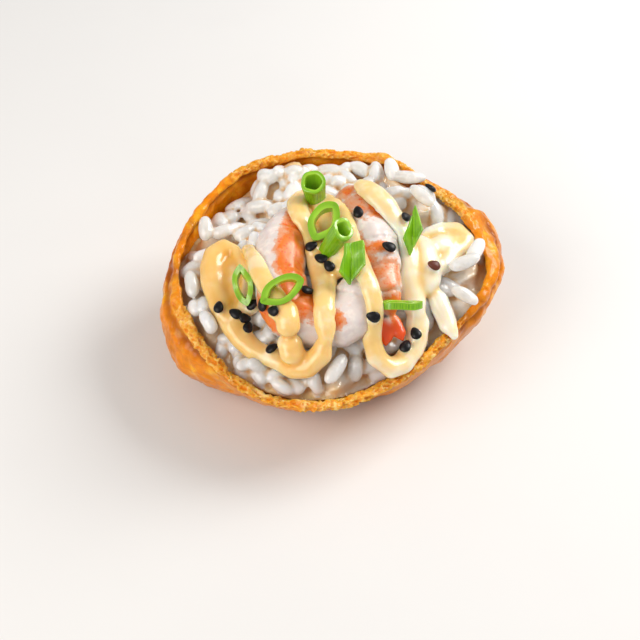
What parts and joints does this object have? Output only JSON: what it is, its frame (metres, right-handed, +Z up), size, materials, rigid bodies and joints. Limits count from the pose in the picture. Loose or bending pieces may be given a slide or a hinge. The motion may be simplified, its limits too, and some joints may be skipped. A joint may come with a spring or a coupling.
{
  "type": "open-topped inari sushi",
  "caption": "Fried tofu pouch filled with rice, open at the top, with curled prawns, zigzag mayonnaise, spring onion and black sesame.",
  "frame": {"origin": "centre of the flat spot's plane, under the middle of the whole part's box", "axes": "+Z up, +X along the pouch's length, -Y towards the low front of its slanting mouth"},
  "size_m": [0.0826, 0.0708, 0.0423],
  "materials": {
    "fried_tofu": "moist, wrinkled golden brown fried skin",
    "rice": "moist, slightly translucent white grains",
    "prawn": "moist white flesh with orange pink bands",
    "mayonnaise": "glossy pale yellow cream",
    "spring_onion": "fresh green with a moist sheen"
  },
  "bodies": {
    "root": {"pouch": "fried_tofu", "rice": "rice", "prawn_left": "prawn", "prawn_right": "prawn", "mayo": "mayonnaise", "scallion_1": "spring_onion", "scallion_2": "spring_onion", "scallion_3": "spring_onion", "scallion_4": "spring_onion", "scallion_5": "spring_onion", "scallion_6": "spring_onion", "scallion_7": "spring_onion", "scallion_8": "spring_onion"}
  },
  "joints": []
}
